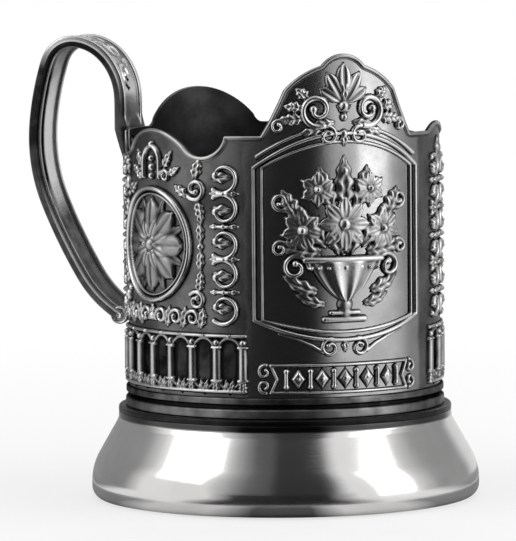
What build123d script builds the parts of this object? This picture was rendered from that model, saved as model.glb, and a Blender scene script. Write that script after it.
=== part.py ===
"""Podstakannik: a metal holder for a tea glass, with an ornamented sleeve, a flared foot and a strap
handle.

Frame: +Z up, origin at the centre of the foot's underside, handle along -X.
Angles are in degrees from +X, anticlockwise seen from above. Lengths are in millimetres.
Plates stand on the outside of the sleeve. Their drawings have x along the wall and y up.
"""

import os
from math import cos, radians, sin

from build123d import *

os.makedirs("parts", exist_ok=True)

# Tea glass and sleeve
glass_diameter = 67.0
glass_clearance = 0.5
sleeve_wall = 0.6

# Foot, seat and collar
foot_height = 19.4
foot_spread = 6.1
foot_lip = 2.0
foot_band_height = 5.0
foot_bulge_height = 4.0
foot_bulge_depth = 1.3
foot_bulge_bow = 0.45
foot_shell = 0.8
foot_corner = 1.2
foot_tread = 1.4
flange_width = 5.0
seat_thickness = 0.8
seat_dish = 0.3
seat_rim_cover = 0.1
collar_height = 1.3
collar_width = 2.4
collar_clearance = 0.05
collar_round = 0.5

# Moulded band round the bottom of the sleeve
band_height = 4.6
band_base = 0.3
band_bead = 0.55

# The panels round the sleeve, each from one angle to the next
panel_edges = {
    "strip": (-13.0, 13.0),
    "front": (-95.0, -13.0),
    "left": (-167.0, -95.0),
    "handle": (167.0, 193.0),
    "back_left": (110.0, 167.0),
    "back_right": (13.0, 110.0),
}
medallion_panels = ("left", "back_left", "back_right")
arcade_panels = ("left", "back_left", "back_right", "strip")

# Upper edge of the sleeve: level shoulders where panels meet, and a rise or fall between them
rim_gap = 0.7
shoulder_angle = 2.5
shoulder_overlap = 1.0
valley_angles = {"left": 25.2, "back_left": 24.6, "back_right": 30.0}
valley_drops = {"left": 4.5, "back_left": -0.35, "back_right": 2.2}
arch_angles = {"left": 17.0, "back_left": 22.8, "back_right": 17.0}
arch_feet = {"left": -2.6, "back_left": 1.8, "back_right": -1.9}
arch_rises = {"left": 1.2, "back_left": 8.4, "back_right": -1.2}
strip_rise = 1.9
crest_rise = 17.5
crest_lobe_angle = 8.2
crest_lobe_rise = 15.0
crest_wing_angle = 21.5
crest_wing_rise = 9.9
crest_wing_swell = 0.5
crest_root_angle = 30.0
crest_root_hollow = 0.2
rim_bead_width = 1.2
rim_bead_stand = 0.5

# Arcades
arcade_gap = 0.7
arcade_height = 13.1
arcade_stand = 1.0
arcade_margin = 2.0
slot_pitch = 10.0
slot_width = 4.3
slot_height = 10.6

# Medallions, with a rosette in each and a palmette above it
medallion_lift = 18.6
medallion_angle = 20.5
medallion_half_height = 12.8
medallion_ring_width = 1.6
medallion_stand = 1.4
rosette_petals = 8
rosette_core = 2.4
petal_length = 7.8
petal_width = 5.0
petal_overlap = 0.6
rosette_stand = 1.1
palmette_gap = 1.6
palmette_leaves = 5
palmette_length = 6.4
palmette_leaf_width = 2.2
palmette_spread = 120.0
palmette_stand = 1.0
leaf_shortening = 0.45

# Chains of scrolls beside the medallions and up the narrow strip
scroll_offsets = {"left": 10.5, "back_left": 5.5, "back_right": 12.0}
strip_scroll_angle = 5.0
scroll_radius = 2.7
scroll_wire = 1.0
scroll_pitch = 5.2
scroll_gap = 1.2
scroll_stand = 1.1

# Front panel: banner, framed field, urn with leaves, and crest ornament
banner_gap = 0.7
banner_angle = 27.0
banner_height = 6.6
banner_notch = 2.4
banner_stand = 0.5
lozenge_size = 2.6
lozenge_pitch = 4.6
lozenge_stand = 0.9
frame_angle = 33.6
frame_width = 2.6
frame_gap = 9.5
frame_sag = 3.7
frame_drop = 6.7
frame_arch = 6.5
frame_stand = 0.7
urn_gap = 1.8
urn_foot_width = 9.0
urn_foot_height = 2.4
urn_stem_width = 3.2
urn_stem_height = 2.2
urn_bowl_width = 15.0
urn_bowl_height = 8.0
urn_lip_width = 17.0
urn_lip_height = 1.8
urn_leaves = 7
urn_leaf_length = 20.0
urn_leaf_width = 5.0
urn_leaf_spread = 150.0
urn_volute_radius = 3.0
urn_volute_wire = 1.2
motif_stand = 1.2
crest_gap = 1.4
crest_leaves = 7
crest_leaf_length = 11.0
crest_leaf_width = 2.8
crest_leaf_spread = 140.0
crest_volute_overlap = 0.5
crest_volute_radius = 2.6
crest_volute_wire = 1.1
crest_stand = 0.9

# Strap handle, drawn by the middle of its thickness, out from the sleeve and up from the shoulder
strap_width = 14.4
strap_thickness = 2.0
strap_edge_width = 1.8
strap_edge_thickness = 2.6
strap_root_drop = 9.0
strap_root_taper = 5.2
strap_root_tip = 0.6
strap_tongue_length = 8.0
strap_tongue_width = 5.2
strap_bend_rise = 6.7
strap_shoulder_out = 4.7
strap_shoulder_rise = 16.2
strap_top_out = 11.3
strap_top_rise = 19.6
strap_turn_out = 17.9
strap_turn_rise = 15.4
strap_reach = 20.8
strap_reach_rise = 1.5
strap_waist_out = 18.1
strap_waist_drop = 16.8
strap_foot_out = 10.2
strap_foot_drop = 32.7
strap_roll_drop = 41.4
strap_roll_radius = 2.0
strap_roll_seat = 0.4

# Rivets that hold the handle, flush inside the sleeve
rivet_radius = 1.1
rivet_head_radius = 1.5
rivet_head_height = 0.6
rivet_head_taper = 35.0
rivet_clearance = 0.05
rivet_spacing = 5.2
rivet_drop = 2.3
pin_radius = 0.9
pin_length = 2.8

# Sizes that follow from those above
bore_radius = glass_diameter / 2 + glass_clearance
sleeve_radius = bore_radius + sleeve_wall
collar_radius = sleeve_radius + collar_width
foot_radius = collar_radius + foot_spread
seat_top = foot_height + seat_thickness
collar_top = foot_height + collar_height
band_top = collar_top + band_height
arcade_bottom = band_top + arcade_gap
arcade_top = arcade_bottom + arcade_height
slot_z = arcade_bottom + arcade_height / 2
medallion_z = arcade_top + medallion_lift
palmette_z = medallion_z + medallion_half_height + palmette_gap
shoulder_z = palmette_z + palmette_length + rim_gap + rim_bead_width - min(arch_rises.values())
crest_top = shoulder_z + crest_rise
banner_z = band_top + banner_gap + banner_height / 2
frame_bottom = banner_z + banner_height / 2 + frame_gap
frame_top = shoulder_z - frame_drop
field_floor = frame_bottom - frame_sag + frame_width / 2
crest_z = frame_top + frame_arch + frame_width / 2 + crest_gap
strap_middle = sleeve_radius + strap_thickness / 2
rivet_z = shoulder_z - rivet_drop
roll_out = strap_roll_radius - strap_roll_seat
pin_z = shoulder_z - strap_roll_drop


def centre_of(panel):
    """The angle that the panel faces."""
    start, end = panel_edges[panel]
    return (start + end) / 2


def half_of(panel):
    """Half of the panel's angle."""
    start, end = panel_edges[panel]
    return (end - start) / 2


def facing(angle):
    """A plane through the axis that faces outwards at this angle, with x along the wall and y up."""
    turn = radians(angle)
    return Plane((0, 0, 0), x_dir=(-sin(turn), cos(turn), 0), z_dir=(cos(turn), sin(turn), 0))


def across(angle):
    """Where a drawing shows a point of the wall that lies this angle from the panel's middle."""
    return sleeve_radius * sin(radians(angle))


def save(part, name):
    """Label a finished piece and write it."""
    part.label = name
    export_step(part, f"parts/{name}.step")


def plate(drawing, angle, stand):
    """The drawing laid round the sleeve at this angle, as a plate that stands this far off its face."""
    with BuildPart() as piece:
        with BuildSketch(facing(angle)):
            add(drawing)
        extrude(amount=2 * sleeve_radius)
        with BuildSketch():
            Circle(sleeve_radius + stand)
            Circle(sleeve_radius, mode=Mode.SUBTRACT)
        extrude(amount=2 * crest_top, mode=Mode.INTERSECT)
    return piece.part


def slot_planes(panel):
    """One plane through each arched opening of the panel's arcade."""
    count = int((2 * half_of(panel) - 2 * arcade_margin) / slot_pitch)
    first = centre_of(panel) - slot_pitch * (count - 1) / 2
    return [facing(first + slot_pitch * i) for i in range(count)]


def rim_curve(panel):
    """The sleeve's upper edge over one panel, from its left shoulder to its right one."""
    edge = across(half_of(panel) + shoulder_overlap)
    flat = across(half_of(panel) - shoulder_angle)
    with BuildLine() as curve:
        if panel == "front":
            root = across(crest_root_angle)
            wing = across(crest_wing_angle)
            lobe = across(crest_lobe_angle)
            wing_z = shoulder_z + crest_wing_rise
            lobe_z = shoulder_z + crest_lobe_rise
            for side in (-1, 1):
                Line((side * edge, shoulder_z), (side * root, shoulder_z))
                ThreePointArc(
                    (side * root, shoulder_z),
                    (side * ((root + wing) / 2 - crest_root_hollow), (shoulder_z + wing_z) / 2),
                    (side * wing, wing_z),
                )
                swell_x = (wing + lobe) / 2 + crest_wing_swell
                swell_z = (wing_z + lobe_z) / 2 + crest_wing_swell
                ThreePointArc(
                    (side * wing, wing_z), (side * swell_x, swell_z), (side * lobe, lobe_z)
                )
            ThreePointArc((-lobe, lobe_z), (0, crest_top), (lobe, lobe_z))
        elif panel == "strip":
            for side in (-1, 1):
                Line((side * edge, shoulder_z), (side * flat, shoulder_z))
            ThreePointArc((-flat, shoulder_z), (0, shoulder_z + strip_rise), (flat, shoulder_z))
        elif panel == "handle":
            Line((-edge, shoulder_z), (edge, shoulder_z))
        else:
            foot = across(arch_angles[panel])
            foot_z = shoulder_z + arch_feet[panel]
            valley = across(valley_angles[panel])
            valley_z = shoulder_z - valley_drops[panel]
            for side in (-1, 1):
                Line((side * edge, shoulder_z), (side * flat, shoulder_z))
                ThreePointArc(
                    (side * flat, shoulder_z), (side * valley, valley_z), (side * foot, foot_z)
                )
            ThreePointArc((-foot, foot_z), (0, shoulder_z + arch_rises[panel]), (foot, foot_z))
    return curve.line


def leaf_reach(length, lean):
    """The length of a leaf that leans this far from upright, where the upright leaf has this length."""
    return length * (1 - leaf_shortening * (1 - cos(radians(lean))))


def fan(root_z, count, length, width, spread):
    """Leaves that spread upwards from one root, the middle one longest."""
    with BuildSketch() as drawing:
        for i in range(count):
            lean = spread * (i / (count - 1) - 0.5)
            reach = leaf_reach(length, lean)
            turn = radians(90 - lean)
            with Locations((reach / 2 * cos(turn), root_z + reach / 2 * sin(turn))):
                Ellipse(reach / 2, width / 2, rotation=90 - lean)
    return drawing.sketch


def rings(places, radius, wire):
    """Round scrolls of one size, each with its middle open."""
    with BuildSketch() as drawing:
        with Locations(*places):
            Circle(radius)
        with Locations(*places):
            Circle(radius - wire, mode=Mode.SUBTRACT)
    return drawing.sketch


def scroll_chain(angles):
    """Columns of scrolls that stand on the arcade, one column at each angle."""
    first = arcade_top + scroll_gap + scroll_radius
    last = shoulder_z - max(valley_drops.values()) - rim_bead_width - scroll_gap - scroll_radius
    heights = [first + scroll_pitch * i for i in range(int((last - first) / scroll_pitch) + 1)]
    return rings([(across(angle), z) for angle in angles for z in heights], scroll_radius, scroll_wire)


def frame_outline(inset):
    """The front frame's outline, drawn in by this much: a hanging foot, straight sides, an arched top."""
    side = across(frame_angle) - inset
    sag_z = frame_bottom - frame_sag - frame_width / 2 + inset
    arch_z = frame_top + frame_arch + frame_width / 2 - inset
    with BuildSketch() as drawing:
        with BuildLine():
            Line((-side, frame_top), (-side, frame_bottom))
            ThreePointArc((-side, frame_bottom), (0, sag_z), (side, frame_bottom))
            Line((side, frame_bottom), (side, frame_top))
            ThreePointArc((side, frame_top), (0, arch_z), (-side, frame_top))
        make_face()
    return drawing.sketch


# Foot: a spun shell, open below, with a flange at the top that carries the seat and the sleeve
with BuildPart() as foot:
    waist = foot_band_height + foot_bulge_height
    with BuildSketch(Plane.XZ):
        with BuildLine():
            Polyline(
                (foot_radius - foot_corner, 0),
                (foot_radius - foot_corner - foot_tread, 0),
                (foot_radius - foot_corner - foot_tread, foot_shell),
                (foot_radius - foot_shell, foot_shell),
                (foot_radius - foot_shell, foot_band_height),
            )
            ThreePointArc(
                (foot_radius - foot_shell, foot_band_height),
                (foot_radius - foot_shell - foot_bulge_bow, foot_band_height + foot_bulge_height / 2),
                (foot_radius - foot_shell - foot_bulge_depth, waist),
            )
            Polyline(
                (foot_radius - foot_shell - foot_bulge_depth, waist),
                (collar_radius - foot_shell, foot_height - foot_lip),
                (collar_radius - foot_shell, foot_height - foot_shell),
                (sleeve_radius - flange_width, foot_height - foot_shell),
                (sleeve_radius - flange_width, foot_height),
                (collar_radius, foot_height),
                (collar_radius, foot_height - foot_lip),
                (foot_radius - foot_bulge_depth, waist),
            )
            ThreePointArc(
                (foot_radius - foot_bulge_depth, waist),
                (foot_radius - foot_bulge_bow, foot_band_height + foot_bulge_height / 2),
                (foot_radius, foot_band_height),
            )
            Line((foot_radius, foot_band_height), (foot_radius, foot_corner))
            RadiusArc((foot_radius, foot_corner), (foot_radius - foot_corner, 0), foot_corner)
        make_face()
    revolve(axis=Axis.Z)
save(foot.part, "foot")

# Seat: the dished plate that the glass stands on, between the foot's flange and the sleeve
with BuildPart() as seat_plate:
    with BuildSketch(Plane.XY.offset(foot_height)):
        Circle(sleeve_radius)
    extrude(amount=seat_thickness)
    with BuildSketch(Plane.XY.offset(seat_top)):
        Circle(bore_radius - seat_rim_cover)
    extrude(amount=-seat_dish, mode=Mode.SUBTRACT)
save(seat_plate.part, "seat_plate")

# Collar: the dark ring round the seat and the bottom of the sleeve
with BuildPart() as collar_ring:
    with BuildSketch(Plane.XY.offset(foot_height)):
        Circle(collar_radius)
        Circle(sleeve_radius + collar_clearance, mode=Mode.SUBTRACT)
    extrude(amount=collar_height)
    fillet(collar_ring.edges().group_by(Axis.Z)[-1].sort_by(SortBy.RADIUS)[-1], collar_round)
save(collar_ring.part, "collar_ring")

# Moulded band with two beads round the bottom of the sleeve
with BuildPart() as lower_band:
    bead_reach = band_height / 4
    with BuildSketch(Plane.XZ):
        with BuildLine():
            Polyline(
                (sleeve_radius + band_base, collar_top),
                (sleeve_radius, collar_top),
                (sleeve_radius, band_top),
                (sleeve_radius + band_base, band_top),
            )
            for bead in (0, 1):
                bottom = collar_top + bead * 2 * bead_reach
                ThreePointArc(
                    (sleeve_radius + band_base, bottom),
                    (sleeve_radius + band_base + band_bead, bottom + bead_reach),
                    (sleeve_radius + band_base, bottom + 2 * bead_reach),
                )
        make_face()
    revolve(axis=Axis.Z)
save(lower_band.part, "lower_band")

# Sleeve: a thin round wall with its upper edge cut to the panels' outlines
with BuildPart() as sleeve:
    with BuildSketch(Plane.XY.offset(seat_top)):
        Circle(sleeve_radius)
        Circle(bore_radius, mode=Mode.SUBTRACT)
    extrude(amount=crest_top - seat_top)
    for panel in panel_edges:
        side = across(half_of(panel) + shoulder_overlap)
        with BuildSketch(facing(centre_of(panel))):
            with BuildLine():
                add(rim_curve(panel))
                Polyline(
                    (side, shoulder_z), (side, 2 * crest_top), (-side, 2 * crest_top), (-side, shoulder_z)
                )
            make_face()
        extrude(amount=2 * sleeve_radius, mode=Mode.SUBTRACT)
    with BuildSketch(facing(180)):
        with Locations((-rivet_spacing / 2, rivet_z), (rivet_spacing / 2, rivet_z)):
            Circle(rivet_radius + rivet_clearance)
        with Locations((0, pin_z)):
            Circle(pin_radius + rivet_clearance)
    extrude(amount=2 * sleeve_radius, mode=Mode.SUBTRACT)
save(sleeve.part, "sleeve")

# Bead along the sleeve's upper edge, left out behind the handle
bead_lengths = []
for panel in panel_edges:
    if panel != "handle":
        side = across(half_of(panel) + shoulder_overlap)
        with BuildSketch() as drawing:
            with BuildLine():
                add(rim_curve(panel))
            trace(line_width=2 * rim_bead_width)
            with BuildLine():
                add(rim_curve(panel))
                Polyline((side, shoulder_z), (side, 0), (-side, 0), (-side, shoulder_z))
            make_face(mode=Mode.INTERSECT)
        bead_lengths.append(plate(drawing.sketch, centre_of(panel), rim_bead_stand))
with BuildPart() as rim_bead:
    add(bead_lengths)
save(rim_bead.part, "rim_bead")

# Arcades: plates of pillars with a rail above and below, and arched openings between them
for panel in arcade_panels:
    with BuildSketch() as drawing:
        with Locations((0, slot_z)):
            Rectangle(2 * across(half_of(panel) - arcade_margin), arcade_height)
    blank = plate(drawing.sketch, centre_of(panel), arcade_stand)
    with BuildPart() as arcade:
        add(blank)
        with BuildSketch(*slot_planes(panel)):
            with Locations((0, slot_z)):
                SlotOverall(slot_height, slot_width, rotation=90)
        extrude(amount=2 * sleeve_radius, mode=Mode.SUBTRACT)
    save(arcade.part, f"{panel}_arcade")

# Medallions: ring, rosette, palmette and scroll chains of each medallion panel
for panel in medallion_panels:
    angle = centre_of(panel)
    half_width = across(medallion_angle)
    with BuildSketch() as ring:
        with Locations((0, medallion_z)):
            Ellipse(half_width, medallion_half_height)
            Ellipse(
                half_width - medallion_ring_width,
                medallion_half_height - medallion_ring_width,
                mode=Mode.SUBTRACT,
            )
    save(plate(ring.sketch, angle, medallion_stand), f"{panel}_medallion_ring")
    with BuildSketch() as rosette:
        with Locations((0, medallion_z)):
            Circle(rosette_core)
            with PolarLocations(rosette_core - petal_overlap + petal_length / 2, rosette_petals):
                Ellipse(petal_length / 2, petal_width / 2)
    save(plate(rosette.sketch, angle, rosette_stand), f"{panel}_rosette")
    palmette = fan(palmette_z, palmette_leaves, palmette_length, palmette_leaf_width, palmette_spread)
    save(plate(palmette, angle, palmette_stand), f"{panel}_palmette")
    chain_angle = medallion_angle + scroll_offsets[panel]
    chains = scroll_chain((-chain_angle, chain_angle))
    save(plate(chains, angle, scroll_stand), f"{panel}_scrolls")
strip_chain = scroll_chain((-strip_scroll_angle, strip_scroll_angle))
save(plate(strip_chain, centre_of("strip"), scroll_stand), "strip_scrolls")

# Front panel's frame
with BuildSketch() as front_frame:
    add(frame_outline(0))
    add(frame_outline(frame_width), mode=Mode.SUBTRACT)
save(plate(front_frame.sketch, centre_of("front"), frame_stand), "front_frame")

# Front panel's banner, with forked ends and a row of lozenges
with BuildSketch() as banner_drawing:
    with Locations((0, banner_z)):
        Rectangle(2 * across(banner_angle), banner_height)
    for side in (-1, 1):
        end = side * across(banner_angle)
        with BuildLine():
            Polyline(
                (end, banner_z - banner_height / 2),
                (end - side * banner_notch, banner_z),
                (end, banner_z + banner_height / 2),
                close=True,
            )
        make_face(mode=Mode.SUBTRACT)
lozenge_room = 2 * (across(banner_angle) - banner_notch - lozenge_size)
lozenge_count = int(lozenge_room / lozenge_pitch) + 1
with BuildSketch() as lozenges:
    with Locations((0, banner_z)):
        with GridLocations(lozenge_pitch, 0, lozenge_count, 1):
            Rectangle(lozenge_size, lozenge_size, rotation=45)
ribbon = plate(banner_drawing.sketch, centre_of("front"), banner_stand)
studs = plate(lozenges.sketch, centre_of("front"), lozenge_stand)
with BuildPart() as front_banner:
    add(ribbon)
    add(studs)
save(front_banner.part, "front_banner")

# Front panel's motif: an urn that holds a spray of leaves, with a volute at each side
stem_z = field_floor + urn_gap + urn_foot_height
bowl_z = stem_z + urn_stem_height + urn_bowl_height
lip_z = bowl_z + urn_lip_height
volute_x = urn_bowl_width / 2 + urn_volute_radius - urn_volute_wire / 2
with BuildSketch() as urn:
    with Locations((0, stem_z - urn_foot_height / 2)):
        Rectangle(urn_foot_width, urn_foot_height)
    with Locations((0, stem_z + urn_stem_height)):
        Rectangle(urn_stem_width, 2 * urn_stem_height)
    with BuildLine():
        ThreePointArc(
            (-urn_bowl_width / 2, bowl_z), (0, bowl_z - urn_bowl_height), (urn_bowl_width / 2, bowl_z)
        )
        Line((urn_bowl_width / 2, bowl_z), (-urn_bowl_width / 2, bowl_z))
    make_face()
    with Locations((0, bowl_z + urn_lip_height / 2)):
        Rectangle(urn_lip_width, urn_lip_height)
    add(fan(lip_z - urn_lip_height / 2, urn_leaves, urn_leaf_length, urn_leaf_width, urn_leaf_spread))
    add(rings([(-volute_x, bowl_z), (volute_x, bowl_z)], urn_volute_radius, urn_volute_wire))
save(plate(urn.sketch, centre_of("front"), motif_stand), "front_motif")

# Front panel's crest ornament: a fan of leaves between two volutes
outer_lean = crest_leaf_spread / 2
outer_leaf_x = leaf_reach(crest_leaf_length, outer_lean) * sin(radians(outer_lean))
crest_volute_x = outer_leaf_x + crest_volute_radius - crest_volute_overlap
with BuildSketch() as crest:
    add(fan(crest_z, crest_leaves, crest_leaf_length, crest_leaf_width, crest_leaf_spread))
    crest_volutes = [(side * crest_volute_x, crest_z + crest_volute_radius) for side in (-1, 1)]
    add(rings(crest_volutes, crest_volute_radius, crest_volute_wire))
save(plate(crest.sketch, centre_of("front"), crest_stand), "front_crest")


def strap_spine():
    """The middle line of the strap, from its upper root over the top and down to its lower root."""
    start = (-strap_middle, shoulder_z - strap_root_drop)
    bend = (-strap_middle, shoulder_z + strap_bend_rise)
    bends = [
        (strap_shoulder_out, strap_shoulder_rise),
        (strap_top_out, strap_top_rise),
        (strap_turn_out, strap_turn_rise),
        (strap_reach, strap_reach_rise),
        (strap_waist_out, -strap_waist_drop),
        (strap_foot_out, -strap_foot_drop),
        (roll_out, -strap_roll_drop),
    ]
    with BuildLine() as spine:
        last = Line(start, bend)
        for out, rise in bends:
            last = TangentArc(last @ 1, (-sleeve_radius - out, shoulder_z + rise), tangent=last % 1)
    return spine.line


# Handle: a bent strap with a thicker edge along each side and a rolled lower end
with BuildPart() as handle:
    with BuildSketch(Plane.XZ):
        with BuildLine():
            add(strap_spine())
        trace(line_width=strap_thickness)
    extrude(amount=strap_width / 2, both=True)
    for edge in (-strap_width / 2, strap_width / 2 - strap_edge_width):
        with BuildSketch(Plane.XZ.offset(edge)):
            with BuildLine():
                add(strap_spine())
            trace(line_width=strap_edge_thickness)
        extrude(amount=strap_edge_width)
    with BuildSketch(Plane.XZ):
        with Locations((-sleeve_radius - roll_out, pin_z)):
            Circle(strap_roll_radius)
    extrude(amount=strap_width / 2, both=True)
    with BuildSketch(Plane.XZ):
        root_z = shoulder_z - strap_root_drop
        with BuildLine():
            Polyline(
                (-sleeve_radius - strap_root_tip, root_z),
                (-sleeve_radius - strap_edge_thickness, root_z + strap_root_taper),
                (-sleeve_radius - strap_edge_thickness, root_z),
                close=True,
            )
        make_face()
    extrude(amount=strap_width, both=True, mode=Mode.SUBTRACT)
    with BuildSketch(facing(180)):
        for side in (-1, 1):
            with BuildLine():
                Polyline(
                    (side * strap_tongue_width / 2, root_z),
                    (side * strap_width / 2, root_z + strap_tongue_length),
                    (side * strap_width, root_z + strap_tongue_length),
                    (side * strap_width, root_z),
                    close=True,
                )
            make_face()
    extrude(amount=sleeve_radius + strap_edge_thickness, mode=Mode.SUBTRACT)
    with BuildSketch():
        Circle(sleeve_radius)
    extrude(amount=crest_top, mode=Mode.SUBTRACT)
    with BuildSketch(facing(180)):
        with Locations((-rivet_spacing / 2, rivet_z), (rivet_spacing / 2, rivet_z)):
            Circle(rivet_radius + rivet_clearance)
    extrude(amount=sleeve_radius + strap_edge_thickness, mode=Mode.SUBTRACT)
    with BuildSketch(facing(180)):
        with Locations((0, pin_z)):
            Circle(pin_radius + rivet_clearance)
    extrude(amount=sleeve_radius + pin_length, mode=Mode.SUBTRACT)
save(handle.part, "handle")

# Rivets through the handle's upper root, with round heads outside
with BuildPart() as upper_rivets:
    for y in (-rivet_spacing / 2, rivet_spacing / 2):
        with BuildSketch(facing(180).offset(bore_radius)):
            with Locations((y, rivet_z)):
                Circle(rivet_radius)
        extrude(amount=sleeve_wall + strap_thickness)
        with BuildSketch(facing(180).offset(sleeve_radius + strap_thickness)):
            with Locations((y, rivet_z)):
                Circle(rivet_head_radius)
        extrude(amount=rivet_head_height, taper=rivet_head_taper)
save(upper_rivets.part, "upper_rivets")

# Pin from inside the sleeve into the handle's rolled end
with BuildPart() as lower_pin:
    with BuildSketch(facing(180).offset(bore_radius)):
        with Locations((0, pin_z)):
            Circle(pin_radius)
    extrude(amount=sleeve_wall + pin_length - rivet_clearance)
save(lower_pin.part, "lower_pin")
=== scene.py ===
"""Looks of a tea glass holder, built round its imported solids.

Lengths are in millimetres until a mesh is made. Angles are in degrees from +X, anticlockwise from above.
Ornament is drawn as height maps on the sleeve, with x along the wall from a panel's middle and z up.
"""

from math import atan2, cos, pi, radians, sin

import bpy
import numpy as np
from mathutils import Matrix, Vector


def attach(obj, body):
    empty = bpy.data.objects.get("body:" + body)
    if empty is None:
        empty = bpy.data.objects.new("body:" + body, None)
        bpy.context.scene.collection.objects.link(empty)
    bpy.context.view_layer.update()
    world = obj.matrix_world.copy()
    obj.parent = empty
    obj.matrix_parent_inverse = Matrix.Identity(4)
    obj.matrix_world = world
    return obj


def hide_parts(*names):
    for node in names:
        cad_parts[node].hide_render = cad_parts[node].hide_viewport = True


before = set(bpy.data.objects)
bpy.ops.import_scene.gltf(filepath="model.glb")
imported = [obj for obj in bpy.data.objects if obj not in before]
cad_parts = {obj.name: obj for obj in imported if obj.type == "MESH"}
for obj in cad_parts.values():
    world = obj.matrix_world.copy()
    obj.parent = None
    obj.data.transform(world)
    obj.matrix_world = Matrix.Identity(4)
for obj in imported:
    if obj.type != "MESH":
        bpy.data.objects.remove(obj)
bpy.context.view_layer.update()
scene = bpy.context.scene

MM = 0.001

# Sizes shared with the solids
bore_radius = 34.0
sleeve_radius = 34.6
collar_radius = 37.0
foot_radius = 43.1
foot_height = 19.4
collar_top = 20.7
band_top = 25.3
arcade_bottom = 26.0
arcade_top = 39.1
slot_z = 32.55
slot_pitch = 10.0
slot_radius = 2.15
slot_straight = 3.15
medallion_z = 57.7
palmette_z = 72.1
shoulder_z = 81.6
crest_top = 99.1
panel_edges = {
    "strip": (-13.0, 13.0),
    "front": (-95.0, -13.0),
    "left": (-167.0, -95.0),
    "back_left": (110.0, 167.0),
    "back_right": (13.0, 110.0),
}

# Bays of each arcade and the shift of their row in bays; the left one has a bay more than its solid
slot_counts = {"left": 7, "back_left": 5, "back_right": 9, "strip": 2}
slot_shifts = {"left": 0.5, "back_left": 0.0, "back_right": 0.0, "strip": 0.0}


def arc(angle):
    """Length along the sleeve's outer face that this angle takes up."""
    return radians(angle) * sleeve_radius


def across(angle):
    """Where the solids' flat drawings show a point this angle from the panel's middle."""
    return sleeve_radius * sin(radians(angle))


def middle_of(panel):
    """The angle that a panel faces."""
    return sum(panel_edges[panel]) / 2


def half_of(panel):
    """Half of a panel's angle."""
    return (panel_edges[panel][1] - panel_edges[panel][0]) / 2


class Nodes:
    """The nodes of a material or world, and its main shader."""

    def __init__(self, owner, main="Principled BSDF"):
        owner.use_nodes = True
        self.owner = owner
        self.tree = owner.node_tree
        self.main = self.tree.nodes[main]

    def add(self, kind, settings=None, values=None, links=None):
        """A node with its settings, socket values and links from other sockets."""
        node = self.tree.nodes.new(kind)
        for key, value in (settings or {}).items():
            setattr(node, key, value)
        for key, value in (values or {}).items():
            node.inputs[key].default_value = value
        for key, socket in (links or {}).items():
            self.tree.links.new(socket, node.inputs[key])
        return node

    def set(self, **values):
        """Set sockets of the main shader, their names written with underscores."""
        for key, value in values.items():
            self.main.inputs[key.replace("_", " ")].default_value = value

    def feed(self, key, socket):
        """Link a socket to one of the main shader's."""
        self.tree.links.new(socket, self.main.inputs[key])

    def fed(self, key):
        """The socket that is linked to one of the main shader's."""
        return self.main.inputs[key].links[0].from_socket

    def ramp(self, socket, stops):
        """A colour ramp on a socket, with stops of (place, grey level or colour)."""
        node = self.add("ShaderNodeValToRGB", links={"Fac": socket})
        elements = node.color_ramp.elements
        while len(elements) < len(stops):
            elements.new(0.5)
        for element, (place, colour) in zip(elements, stops):
            element.position = place
            element.color = (*colour, 1) if isinstance(colour, tuple) else (colour, colour, colour, 1)
        return node.outputs["Color"]

    def attribute(self, name):
        """A number that the mesh has for each of its points."""
        return self.add("ShaderNodeAttribute", {"attribute_name": name}).outputs["Fac"]

    def place(self):
        """A point's place in its object's own coordinates, in metres."""
        return self.add("ShaderNodeTexCoord").outputs["Object"]

    def noise(self, scale, detail=4.0):
        """Noise over the object's own coordinates, its scale in cells per metre."""
        values = {"Scale": scale, "Detail": detail}
        return self.add("ShaderNodeTexNoise", {}, values, {"Vector": self.place()}).outputs["Fac"]

    def math(self, operation, first, second):
        """Two numbers or sockets put together."""
        node = self.add("ShaderNodeMath", {"operation": operation})
        for i, value in enumerate((first, second)):
            if isinstance(value, (int, float)):
                node.inputs[i].default_value = value
            else:
                self.tree.links.new(value, node.inputs[i])
        return node.outputs["Value"]

    def vector(self, operation, links, values=None, output="Vector"):
        """Vectors put together, from links to sockets and values on them."""
        node = self.add("ShaderNodeVectorMath", {"operation": operation}, values, links)
        return node.outputs[output]

    def between(self, value, start, end, low, high):
        """Goes smoothly from low to high as the value goes from start to end."""
        settings = {"interpolation_type": "SMOOTHSTEP"}
        values = {"From Min": start, "From Max": end, "To Min": low, "To Max": high}
        return self.add("ShaderNodeMapRange", settings, values, {"Value": value}).outputs["Result"]

    def bump(self, height, strength, distance):
        """Fine surface roughness from a height socket; distance in millimetres."""
        values = {"Strength": strength, "Distance": distance * MM}
        self.feed("Normal", self.add("ShaderNodeBump", {}, values, {"Height": height}).outputs["Normal"])

    def darken(self, colour, share):
        """Give the main shader this colour times a share, both sockets."""
        self.feed("Base Color", self.vector("SCALE", {0: colour, "Scale": share}))

    def seen(self):
        """One for rays that show the surroundings, from the camera or by gloss or glass."""
        path = self.add("ShaderNodeLightPath").outputs
        gloss = self.math("MAXIMUM", path["Is Glossy Ray"], path["Is Transmission Ray"])
        return self.math("MAXIMUM", path["Is Camera Ray"], gloss)

    def mix_in(self, other, share, output):
        """Mix this share of another shader into the main one, and show that."""
        links = {0: share, 1: self.main.outputs[0], 2: other.outputs[0]}
        mix = self.add("ShaderNodeMixShader", links=links)
        self.tree.links.new(mix.outputs[0], self.tree.nodes[output].inputs["Surface"])


def new_look(name):
    """The nodes of a new material."""
    return Nodes(bpy.data.materials.new(name))


# Materials
grain_depth = 0.05
grain_share = 0.16
polish_full = 34.0
polish_end = 38.0
polish_ragged = 0.05
patina_spread = 0.3
# Painted shade on the foot under the collar: where it starts, where it is full, and the share of colour
# left there
collar_shadow_start = 17.8
collar_shadow_full = 18.3
collar_shadow_share = 0.1


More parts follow.
